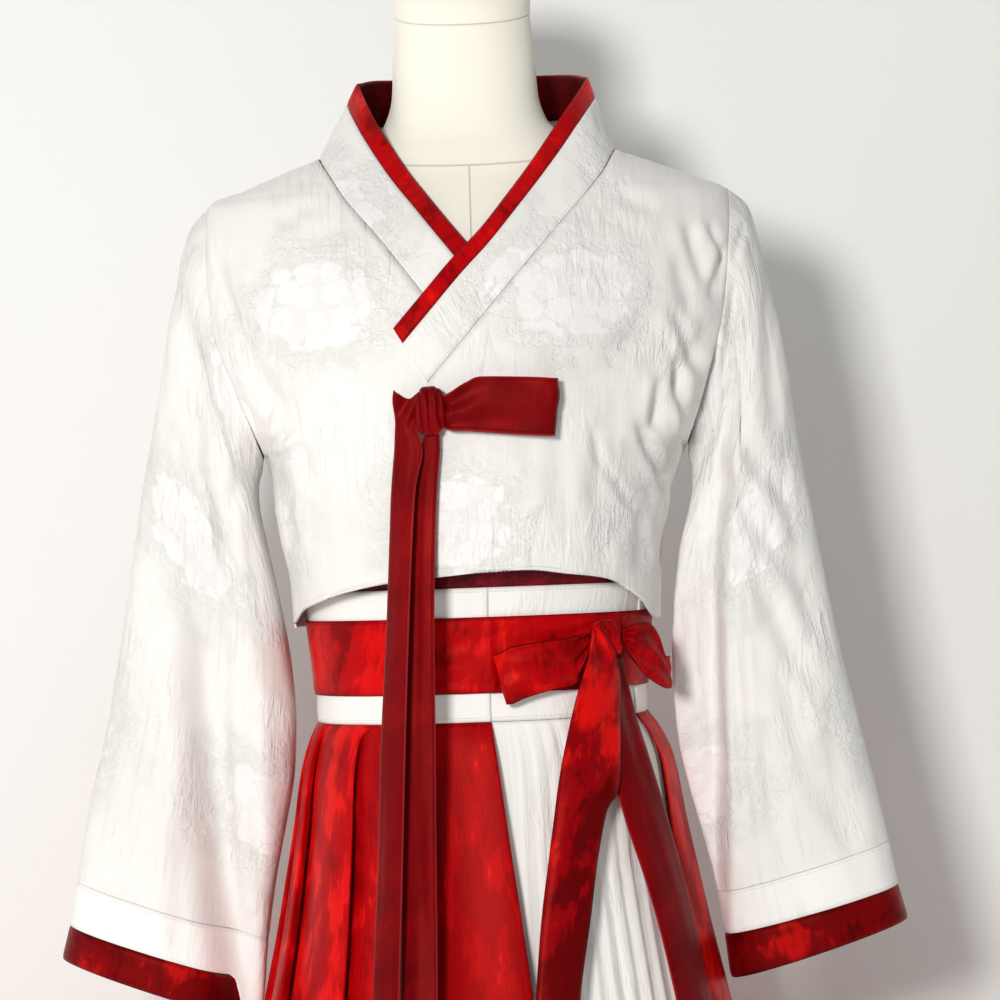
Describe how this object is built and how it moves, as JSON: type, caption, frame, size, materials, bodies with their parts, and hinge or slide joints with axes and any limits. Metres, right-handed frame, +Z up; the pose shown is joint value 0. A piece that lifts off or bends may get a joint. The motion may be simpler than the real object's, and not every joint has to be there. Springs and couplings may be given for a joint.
{
  "type": "korean hanbok set with chest tie and belt bow, worn by a limbless dress form on a stand",
  "caption": "Crossed white jacket with wide sleeves and red tie, red pleated wrap skirt over a white one, belt with bow, on a limbless dress form with pole and disc base.",
  "frame": {"origin": "middle of the underside of the stand's base, on the floor", "axes": "-Y is the front of the garment, +X the wearer's left, +Z up"},
  "size_m": [0.6771, 0.5695, 1.6207],
  "materials": {
    "jacquard": "off-white crepe with a tonal woven flower pattern",
    "white_band": "plain off-white cloth",
    "red_satin": "red satin with a mottled woven pattern",
    "red_tie": "plain deep red satin",
    "burgundy": "burgundy satin",
    "dark_red": "dark red lining",
    "cream_jersey": "cream jersey stretched over the form",
    "painted_metal": "cream paint"
  },
  "bodies": {
    "root": {"jacket_body_left": "jacquard", "jacket_body_right": "jacquard", "sleeve_left": "jacquard", "sleeve_right": "jacquard", "cuff_band_left": "white_band", "cuff_band_right": "white_band", "cuff_trim_left": "red_satin", "cuff_trim_right": "red_satin", "collar_band": "jacquard", "collar_trim": "red_tie", "collar_facing": "dark_red", "tie_knot": "red_tie", "tie_loop": "red_tie", "tie_tail_front": "red_tie", "tie_tail_back": "red_tie", "bodice": "burgundy", "underskirt_waistband": "white_band", "overskirt_waistband": "white_band", "belt": "red_satin", "underskirt": "white_band", "overskirt": "red_satin", "bow_knot": "red_satin", "bow_loop_left": "red_satin", "bow_loop_right": "red_satin", "bow_tail_left": "red_tie", "bow_tail_right": "red_satin", "form_torso": "cream_jersey", "form_neck_cap": "cream_jersey", "stand_pole": "painted_metal", "stand_base": "painted_metal"}
  },
  "joints": []
}
